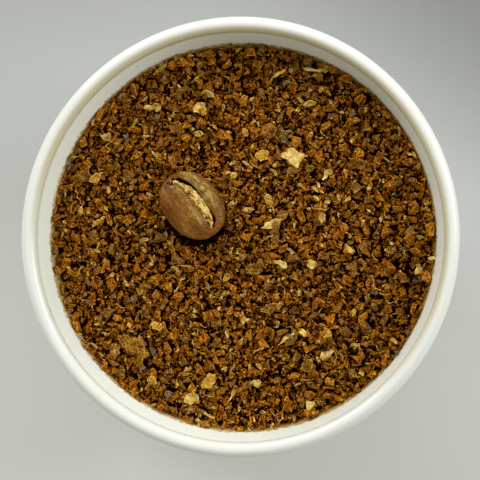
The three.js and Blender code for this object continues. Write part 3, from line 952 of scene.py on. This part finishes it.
def layShowPieces(ground, kind, finish):
    # the named flakes of one kind as a single piece
    thickness, curl, crumple = showForms[kind]
    whole = bmesh.new()
    for k, (outline, x, y, length, width, turn) in enumerate(showPieces[kind]):
        # every third one curls down, and the last number tears each in its own way
        bent = curl * (1 if k % 3 else -1)
        mesh = tornPlate(outlines[outline], length, width, thickness, bent, crumple, 11.3 * k)
        half = np.array([length / 2, width / 2, thickness / 2 + 0.12])
        slope = 0.7 * ground.slope(x, y, length / 2)
        rest = ground.drop(x, y, half, math.radians(turn), heap["lastSunkIn"])
        place = Matrix.LocRotScale(Vector((x, y, rest)) * mm, lying(slope, math.radians(turn)), None)
        mesh.transform(place)
        whole.from_mesh(mesh)
        bpy.data.meshes.remove(mesh)
    mesh = bpy.data.meshes.new(kind + "_large")
    bmesh.ops.recalc_face_normals(whole, faces=whole.faces)
    whole.to_mesh(mesh)
    whole.free()
    maskTop(mesh, None)
    mesh.materials.append(finish)
    piece = addObject(kind + "_large", mesh)
    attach(piece, "root")
    print(kind + "_large", len(mesh.polygons), "faces")


def scatterTree():
    # puts one of the given shapes on each point, with the point's own size and turn
    tree = bpy.data.node_groups.new("Scatter grains", "GeometryNodeTree")
    for name, kind in (("Geometry", "Geometry"), ("Shapes", "Collection"), ("Grain size", "Float"),
                       ("Seed", "Int"), ("Finish", "Material")):
        tree.interface.new_socket(name, in_out="INPUT", socket_type="NodeSocket" + kind)
    tree.interface.new_socket("Geometry", in_out="OUTPUT", socket_type="NodeSocketGeometry")
    given = addNode(tree, "NodeGroupInput", {}, None).outputs
    shapes = addNode(tree, "GeometryNodeCollectionInfo",
                     {"Collection": given["Shapes"], "Separate Children": True, "Reset Children": True})
    size, turn = (addNode(tree, "GeometryNodeInputNamedAttribute",
                          {"data_type": "FLOAT_VECTOR", "Name": name}) for name in ("size", "turn"))
    scaled = addNode(tree, "ShaderNodeVectorMath",
                     {"operation": "SCALE", 0: size, "Scale": given["Grain size"]})
    turned = addNode(tree, "FunctionNodeEulerToRotation", {0: turn})
    # a number past the last shape starts again from the first
    pick = addNode(tree, "FunctionNodeRandomValue",
                   {"data_type": "INT", 4: 0, 5: 9999, "Seed": given["Seed"]}, 2)
    placed = addNode(tree, "GeometryNodeInstanceOnPoints", {
        "Points": given["Geometry"], "Instance": shapes, "Pick Instance": True, "Instance Index": pick,
        "Rotation": turned, "Scale": scaled})
    tintSeed = addNode(tree, "ShaderNodeMath", {"operation": "ADD", 0: given["Seed"], 1: 7.0})
    tint = addNode(tree, "FunctionNodeRandomValue", {"data_type": "FLOAT", "Seed": tintSeed}, 1)
    tinted = addNode(tree, "GeometryNodeStoreNamedAttribute", {
        "data_type": "FLOAT", "domain": "INSTANCE", "Geometry": placed, "Name": "tint", "Value": tint})
    real = addNode(tree, "GeometryNodeRealizeInstances", {"Geometry": tinted})
    finished = addNode(tree, "GeometryNodeSetMaterial", {"Geometry": real, "Material": given["Finish"]})
    addNode(tree, "NodeGroupOutput", {"Geometry": finished}, None)
    return tree


def maskTop(mesh, ground):
    # the height of the heap's top over each point, from which the finishes paint shade into the gaps
    addMask(mesh, "top", ground.evenAt(pointsOf(mesh)) if ground else 0)


def scatter(name, tree, rows, shapes, finish, seed, ground=None):
    # rows: x, y, z, three sizes and three turns, in millimetres and radians
    group = bpy.data.collections.new(name + " shapes")
    made = [addObject(f"{name}_{i:02d}", shape, group) for i, shape in enumerate(shapes)]
    points = bpy.data.meshes.new(name)
    points.from_pydata([tuple(p) for p in rows[:, :3] * mm], [], [])
    for attribute, columns in (("size", rows[:, 3:6]), ("turn", rows[:, 6:9])):
        given = points.attributes.new(attribute, "FLOAT_VECTOR", "POINT")
        given.data.foreach_set("vector", columns.ravel().astype(np.float32))
    piece = addObject(name, points)
    modifier = piece.modifiers.new("Scatter", "NODES")
    modifier.node_group = tree
    values = {"Shapes": group, "Grain size": 1.0, "Seed": seed, "Finish": finish}
    for item in tree.interface.items_tree:
        if item.in_out == "INPUT" and item.name in values:
            modifier[item.identifier] = values[item.name]
    evaluated = piece.evaluated_get(bpy.context.evaluated_depsgraph_get())
    whole = bpy.data.meshes.new_from_object(evaluated)
    piece.modifiers.clear()
    piece.data = whole
    whole.name = name
    for used in ("size", "turn"):
        if used in whole.attributes:
            whole.attributes.remove(whole.attributes[used])
    bpy.data.meshes.remove(points)
    maskTop(whole, ground)
    for shape in made:
        bpy.data.objects.remove(shape)
    bpy.data.collections.remove(group)
    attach(piece, "root")
    print(name, len(rows), "grains", sum(len(p.vertices) - 2 for p in whole.polygons), "triangles")


def brokenSeedFinish(name, stops, rim, contrast=(0.52, 1.48), facets=(0.56, 1.42), relief=0.08):
    # broken roasted seed: dry and porous, so matte, and golden along its broken edges; painted shade darkens
    # it in the gaps between grains
    material, tree, place = newMaterial(name)
    mottle = addNode(tree, "ShaderNodeTexNoise", {"Vector": place, "Scale": 1.3, "Detail": 2.0})
    cells = addNode(tree, "ShaderNodeTexNoise",
                    {"Vector": place, "Scale": 4.2, "Detail": 1.5, "Roughness": 0.6})
    tint, edge, tone, top = (addNode(tree, "ShaderNodeAttribute", {"attribute_name": mask}, "Fac")
                             for mask in ("tint", "edge", "tone", "top"))
    shifted = addNode(tree, "ShaderNodeMath", {"operation": "MULTIPLY_ADD", 0: tint, 1: 0.5, 2: -0.2})
    mixed = addNode(tree, "ShaderNodeMath", {"operation": "MULTIPLY_ADD", 0: mottle, 1: 0.9, 2: shifted})
    worn = addNode(tree, "ShaderNodeMath", {"operation": "MULTIPLY", 0: edge, 1: edge})
    # painted shade: the further a point lies below the heap's evened-out top, the darker its colour
    height = addNode(tree, "ShaderNodeSeparateXYZ", {0: place}, 2)
    above = addNode(tree, "ShaderNodeMath", {"operation": "SUBTRACT", 0: height, 1: top})
    tone_and_painted_shade = 1.0
    for source, low, high, least, most in ((cells, 0.36, 0.64, *contrast), (tone, 0, 1, *facets),
                                           (above, *heap["gaps"], 0.05, 1.0)):
        share = addNode(tree, "ShaderNodeMapRange", {0: source, 1: low, 2: high, 3: least, 4: most})
        tone_and_painted_shade = addNode(tree, "ShaderNodeMath", {"operation": "MULTIPLY", 0: tone_and_painted_shade, 1: share})
    # darker tones, the painted shade among them, turn redder, and lighter ones more golden
    tinted = addNode(tree, "ShaderNodeVectorMath", {"operation": "POWER", 0: tone_and_painted_shade, 1: (1, 1.35, 1.9)})
    colour = addNode(tree, "ShaderNodeValToRGB", {"Fac": mixed, "stops": stops})
    coats = [("MIX", worn, rim), ("MULTIPLY", 1.0, tinted)]
    finishMaterial(tree, colour, coats, 0.8, shine=0.1, bump=(cells, 1.0, relief))
    return material


def chaffFinish(name, stops, roughness=0.55):
    # the seed's inner hull, dried to thin paper: pale, faintly ribbed and a little glossy
    material, tree, place = newMaterial(name)
    ribs = addNode(tree, "ShaderNodeTexNoise",
                   {"Vector": place, "Scale": 1.5, "Detail": 3.0, "Roughness": 0.6, "Distortion": 0.8})
    colour = addNode(tree, "ShaderNodeValToRGB", {"Fac": ribs, "stops": stops})
    finishMaterial(tree, colour, [], roughness, shine=0.35, bump=(ribs, 0.8, 0.07))
    return material


core = {"around": 160, "rings": 56, "gap": 0.12, "bumps": 0.22, "underBean": 0.3}


def coreMesh():
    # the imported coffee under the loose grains, down to the bowl's floor
    angles = np.linspace(0, 2 * math.pi, core["around"], endpoint=False)
    level = heap["level"] - heap["coreDepth"]
    edge = wallRadius(level) - core["gap"]
    rows = []
    for k in range(1, core["rings"] + 1):
        radius = edge * k / core["rings"]
        x, y = radius * np.cos(angles), radius * np.sin(angles)
        z = level - 0.1 + swell(x, y) * smoothStep(edge, edge - 2, radius)
        z = np.minimum(z, beanUnderside(x, y) - core["underBean"])
        bumps = [core["bumps"] * noise.noise(Vector((a * 1.1, b * 1.1, 3))) for a, b in zip(x, y)]
        rows.append(np.column_stack([x, y, z + (np.array(bumps) if k < core["rings"] else 0)]))
    wall = innerWall(30)
    wall = wall[wall[:, 1] < rows[-1][:, 2].min() - 0.3] + [-core["gap"], 0.1]
    for radius, height in wall:
        rows.append(np.column_stack([radius * np.cos(angles), radius * np.sin(angles),
                                     np.full(core["around"], height)]))
    middle = [0, 0, float(rows[0][:, 2].mean())]
    points = np.vstack(rows + [[middle], [[0, 0, wall[-1][1]]]])
    return meshFrom("grounds_core", points, [f[::-1] for f in shellFaces(len(rows), core["around"])])


dust = {"count": 150, "size": (0.09, 0.26), "spread": 0.28}


def dustRows(rng):
    # specks of coffee that cling to the wall and the bead's inner side, thickest along the crease
    section = bowlSection()
    down = section[int(np.argmax(section[:, 1])) + 4:]
    down = down[down[:, 1] > heap["level"] + 0.7]
    run = np.concatenate([[0], np.cumsum(np.linalg.norm(np.diff(down, axis=0), axis=1))])
    crease = run[int(np.argmin(np.abs(down[:, 1] - creaseAt[1])))]
    rows = []
    for k in range(dust["count"]):
        along = crease + dust["spread"] * rng.normal() if k % 5 < 3 else rng.uniform(0, run[-1])
        radius, height = (np.interp(along, run, down[:, c]) for c in (0, 1))
        size = rng.uniform(*dust["size"]) * rng.uniform(0.6, 1)
        turn = rng.uniform(0, 2 * math.pi)
        radius -= 0.3 * size
        rows.append((radius * math.cos(turn), radius * math.sin(turn), height + 0.1 * size,
                     size, 0.8 * size, 0.6 * size, *rng.uniform(0, 3, 3)))
    return np.array(rows)


# how many shapes each kind has to pick from, and of what sort
chipKinds = {
    "coarse": (26, chipShape, {"corners": 9, "crags": 0.2, "square": 0.3}),
    "medium": (26, chipShape, {"corners": 7, "crags": 0.2, "square": 0.2}),
    "fine": (16, chipShape, {"corners": 5, "crags": 0.15, "square": 0.2}),
    "crumb": (12, chipShape, {"corners": 5, "crags": 0, "square": 0}),
    "shell": (20, chipShape, {"corners": 9, "crags": 0.1, "square": 0.1}),
    "scorched": (10, chipShape, {"corners": 9, "crags": 0.2}),
    "golden": (14, chipShape, {"corners": 8, "crags": 0.2}),
    "chaff": (18, plateShape, {"curl": 0.8, "crumple": 0.2, "thickness": 0.16}),
    "shred": (18, shredShape, {}),
    "dust": (6, chipShape, {"corners": 6, "crags": 0.25}),
}


def makeGrounds():
    ground = Ground()
    browns = [(0.1, "#623605"), (0.35, "#7D4507"), (0.65, "#945809"), (0.95, "#AD6D13")]
    brown = brokenSeedFinish("Coarse-ground roasted coffee", browns, "#C4801A")
    shell = brokenSeedFinish("Roasted bean skin fragments", [(0.2, "#694510"), (0.8, "#87591E")], "#9C712C")
    plate = brokenSeedFinish("Roasted coffee plates", [(0.12, "#744A10"), (0.38, "#9E6D20")], "#B48232",
                             contrast=(0.35, 1.6), relief=0.16)
    scorched = brokenSeedFinish("Scorched coffee chips", [(0.2, "#54402A"), (0.8, "#75603C")], "#8F6C38")
    golden = brokenSeedFinish("Light-roasted coffee chips", [(0.2, "#B4862A"), (0.8, "#D4A23E")], "#DFB555")
    chaff = chaffFinish("Coffee chaff", [(0.32, "#AA8028"), (0.5, "#D0AA4A"), (0.68, "#EAD48C")])
    dry = chaffFinish("Dry coffee fibre", [(0.32, "#8F5F18"), (0.5, "#B4842E"), (0.68, "#D0AA58")], 0.65)
    packed = coreMesh()
    # painted shade: the core's top mask is set at the level, above its surface, so its finish paints it near
    # black like the deep gaps
    addMask(packed, "top", heap["level"])
    addMask(packed, "tone", 0.5)
    packed.materials.append(brown)
    piece = addObject("grounds_core", packed)
    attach(piece, "root")
    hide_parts("coffee_grounds")
    poured = pourGrains(ground)
    ground.evenOut()
    poured = {kind: ground.inSight(rows) for kind, rows in poured.items()}
    layShowPieces(ground, "plate", plate)
    layShowPieces(ground, "golden", golden)
    layShowPieces(ground, "chaff", chaff)
    rng = np.random.default_rng(7)
    poured["dust"] = dustRows(rng)
    tree = scatterTree()
    chips = {kind: [shape(rng, **settings) for _ in range(count)]
             for kind, (count, shape, settings) in chipKinds.items()}
    finishes = {"shell": shell, "scorched": scorched, "golden": golden, "chaff": chaff, "shred": dry,
                "dust": golden}
    for seed, (kind, rows) in enumerate(poured.items()):
        for mesh in chips[kind]:
            pointOutward(mesh)
        scatter("grains_" + kind, tree, rows, chips[kind], finishes.get(kind, brown), seed + 3,
                None if kind == "dust" else ground)
    print("heap top", round(ground.meanHeight(), 2), round(float(ground.height.max()), 2), "mm")


# Table, light and camera

studio = {
    "tilt": 7.3,             # degrees from straight above
    "towards": -9,           # degrees from +X that the camera leans
    "distance": 360,         # in mm, as is all that follows up to the lamps
    "across": 70.4,          # width of the view at the rim
    "aim": (0.4, -0.48, 34),
    # lamps: degrees from +X, degrees above the table, power
    "lamps": [(19, 27, 2.2), (122, 27, 2.55), (78, 45, 0.2)],
    "lampTint": (0.98, 0.99, 1.06),
    "lampSize": 0.34,        # in metres, as are the next two
    "lampDistance": 0.6,
    "lampAim": 0.03,         # height on the axis that they face
    "fill": 0.48,
    "tableReach": 900,       # in mm
}


def makeTable():
    reach = studio["tableReach"]
    corners = [(-reach, -reach, 0), (reach, -reach, 0), (reach, reach, 0), (-reach, reach, 0)]
    mesh = meshFrom("table", corners, [(0, 1, 2, 3)], False)
    material, tree, place = newMaterial("Matt white laminate")
    # painted shade: the colour darkens towards the back, and most in the far right corner, as if the light
    # fell off there
    x, y, _ = addNode(tree, "ShaderNodeSeparateXYZ", {0: place}, None).outputs
    back = addNode(tree, "ShaderNodeMapRange", {"interpolation_type": "SMOOTHSTEP", 0: y, 1: -30.0, 2: 60.0})
    off = addNode(tree, "ShaderNodeMath", {"operation": "MULTIPLY_ADD", 0: y, 1: 0.8, 2: x})
    corner_shade = addNode(tree, "ShaderNodeMapRange",
                     {"interpolation_type": "SMOOTHSTEP", 0: off, 1: 15.0, 2: 75.0, 3: 1.0, 4: 0.55})
    coats = [("MIX", back, "#9C9E9A"), ("MULTIPLY", 1.0, corner_shade)]
    finishMaterial(tree, toLinear("#D6D8D3"), coats, 0.6, ior=1.5)
    mesh.materials.append(material)
    addObject("table", mesh)


def makeLight():
    # large soft boxes to the right and the upper left, a weak one between them, and an even fill
    s = studio
    for turn, height, power in s["lamps"]:
        turn, height = math.radians(turn), math.radians(height)
        flat = math.cos(height)
        towards = Vector((flat * math.cos(turn), flat * math.sin(turn), math.sin(height)))
        lamp = bpy.data.lights.new("soft box", "AREA")
        lamp.shape = "DISK"
        lamp.size = s["lampSize"]
        lamp.energy = power
        lamp.color = s["lampTint"]
        made = bpy.data.objects.new("soft box", lamp)
        made.location = Vector((0, 0, s["lampAim"])) + towards * s["lampDistance"]
        made.rotation_euler = towards.to_track_quat("Z", "Y").to_euler()
        bpy.context.scene.collection.objects.link(made)
    world = bpy.data.worlds.new("studio")
    world.use_nodes = True
    world.node_tree.nodes["Background"].inputs["Color"].default_value = toLinear("#FFFEF2")
    world.node_tree.nodes["Background"].inputs["Strength"].default_value = s["fill"]
    bpy.context.scene.world = world


def makeCamera():
    s = studio
    tilt, side = math.radians(s["tilt"]), math.radians(s["towards"])
    back = Vector((math.sin(tilt) * math.cos(side), math.sin(tilt) * math.sin(side), math.cos(tilt)))
    data = bpy.data.cameras.new("camera")
    data.sensor_width = 36
    data.lens = data.sensor_width * s["distance"] / s["across"]
    data.clip_start = 0.01
    camera = bpy.data.objects.new("camera", data)
    aim = Vector(s["aim"]) * mm
    across = Vector((0, 1, 0)).cross(back).normalized()
    turn = Matrix((across, back.cross(across), back)).transposed()
    camera.matrix_world = Matrix.Translation(aim + back * s["distance"] * mm) @ turn.to_4x4()
    bpy.context.scene.collection.objects.link(camera)
    bpy.context.scene.camera = camera


makeCamera()
makeTable()
makeLight()
bpy.context.scene.view_settings.view_transform = "Standard"
makeBowl()
makeBean()
makeGrounds()
